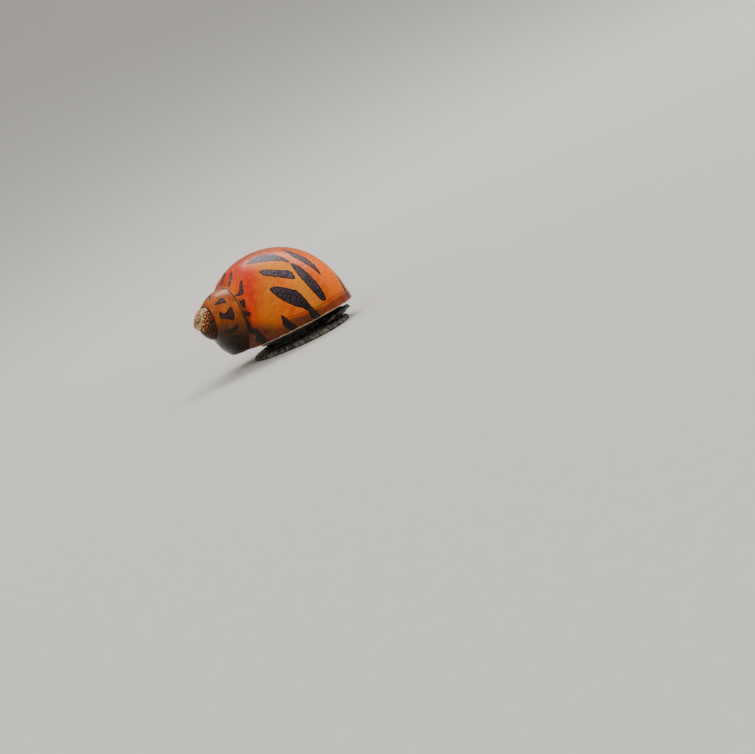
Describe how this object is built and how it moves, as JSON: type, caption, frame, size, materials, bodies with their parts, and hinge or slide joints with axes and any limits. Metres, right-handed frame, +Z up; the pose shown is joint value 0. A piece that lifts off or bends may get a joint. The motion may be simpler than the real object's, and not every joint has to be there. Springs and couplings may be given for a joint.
{
  "type": "nerite snail",
  "caption": "Life-size nerite snail with a domed, low-spired shell, resting on its foot with head and short feelers under the lip.",
  "frame": {"origin": "middle of the sole of the foot, on the floor", "axes": "+Z up; -Y is where the animal looks; +X is the animal's left"},
  "size_m": [0.0178, 0.0224, 0.0154],
  "materials": {
    "shell_last_whorl": "glossy, orange to red-brown with dark strokes",
    "shell_spire": "glossy orange-brown with dark marks",
    "shell_tip": "eroded, chalky and pitted",
    "soft_body": "moist, near-black with grey mottling",
    "operculum_plate": "smooth, brown-grey",
    "eye": "glossy black"
  },
  "bodies": {
    "root": {"shell_body_whorl": "shell_last_whorl", "shell_spire_whorl": "shell_spire", "shell_apex": "shell_tip", "mantle": "soft_body", "foot": "soft_body", "operculum": "operculum_plate", "head": "soft_body", "tentacle_left": "soft_body", "tentacle_right": "soft_body", "eye_left": "eye", "eye_right": "eye"}
  },
  "joints": []
}
